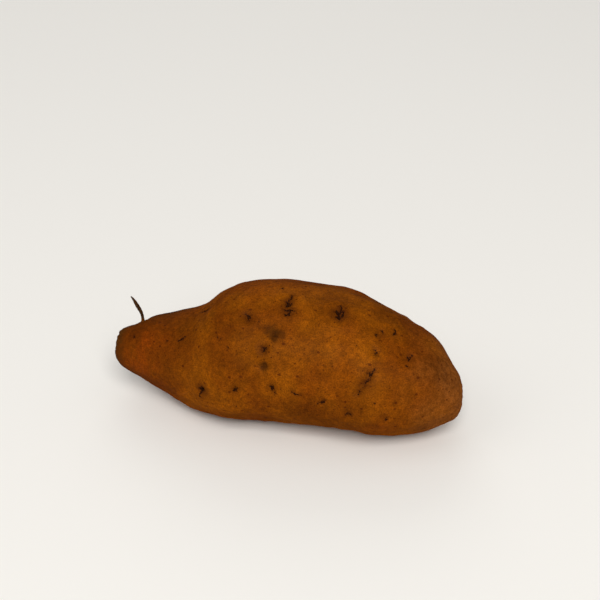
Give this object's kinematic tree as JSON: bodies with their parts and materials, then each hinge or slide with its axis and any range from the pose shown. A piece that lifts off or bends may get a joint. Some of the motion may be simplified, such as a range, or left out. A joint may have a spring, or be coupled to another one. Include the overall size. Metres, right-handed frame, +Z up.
{
  "type": "sweet potato",
  "caption": "Whole raw sweet potato lying on its side, with a blunt neck, a fat body, shallow eyes and a few short rootlets.",
  "frame": {"origin": "middle of the footprint of the whole tuber, on the surface that it lies on", "axes": "+X along the tuber from its blunt neck to its root end, +Y to the back, +Z up"},
  "size_m": [0.181, 0.079, 0.07],
  "materials": {
    "skin": "satin, orange-brown skin with dark eyes"
  },
  "bodies": {
    "root": {"tuber": "skin"}
  },
  "joints": []
}
